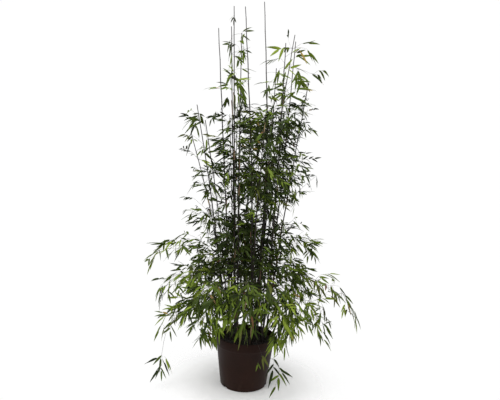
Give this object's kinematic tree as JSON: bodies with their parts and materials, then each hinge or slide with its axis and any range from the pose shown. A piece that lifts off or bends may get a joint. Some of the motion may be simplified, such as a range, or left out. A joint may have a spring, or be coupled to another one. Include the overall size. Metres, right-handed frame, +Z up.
{
  "type": "potted bamboo",
  "caption": "Tall clump-forming bamboo in a round nursery pot: thin fanned canes, bare above the crown, with leafy sprays hanging round the foot.",
  "frame": {"origin": "centre of the pot's flat underside, on the surface that the plant stands on", "axes": "+Z up along the canes, -Y towards the front of the plant, +X to its right as seen from the front"},
  "size_m": [1.1212, 0.7935, 1.8971],
  "materials": {
    "pot_plastic": "moulded, satin",
    "compost": "crumbly, matt",
    "cane_bark": "smooth, satin, ringed at the nodes",
    "leaves": "thin, satin above and matt below"
  },
  "bodies": {
    "root": {"pot": "pot_plastic", "soil": "compost", "cane_arching_1": "cane_bark", "cane_arching_2": "cane_bark", "cane_arching_3": "cane_bark", "cane_inner_1": "cane_bark", "cane_inner_2": "cane_bark", "cane_inner_3": "cane_bark", "cane_inner_4": "cane_bark", "cane_inner_5": "cane_bark", "cane_inner_6": "cane_bark", "cane_inner_7": "cane_bark", "cane_inner_8": "cane_bark", "cane_leafy_1": "cane_bark", "cane_leafy_2": "cane_bark", "cane_leafy_3": "cane_bark", "cane_leafy_4": "cane_bark", "cane_leafy_5": "cane_bark", "cane_tall_1": "cane_bark", "cane_tall_2": "cane_bark", "cane_tall_3": "cane_bark", "cane_tall_4": "cane_bark", "cane_tall_5": "cane_bark", "cane_tall_6": "cane_bark", "column_high_back": "leaves", "column_high_front": "leaves", "column_high_left": "leaves", "column_high_right": "leaves", "column_low_back": "leaves", "column_low_front": "leaves", "column_low_left": "leaves", "column_low_right": "leaves", "crown_left_high": "leaves", "crown_left_low": "leaves", "crown_right_edge": "leaves", "crown_right_high": "leaves", "crown_right_low": "leaves", "dangle_left": "leaves", "dangle_over_pot": "leaves", "dangle_right": "leaves", "shoot_left_high": "leaves", "shoot_left_low": "leaves", "shoulder_back": "leaves", "shoulder_left": "leaves", "shoulder_right": "leaves", "skirt_back": "leaves", "skirt_back_left": "leaves", "skirt_back_right": "leaves", "skirt_front": "leaves", "skirt_front_left": "leaves", "skirt_front_right": "leaves", "skirt_left": "leaves", "skirt_left_high": "leaves", "skirt_left_low": "leaves", "skirt_left_top": "leaves", "skirt_right_far": "leaves", "skirt_right_high": "leaves", "skirt_right_low": "leaves", "waist_left": "leaves", "waist_right": "leaves"}
  },
  "joints": []
}
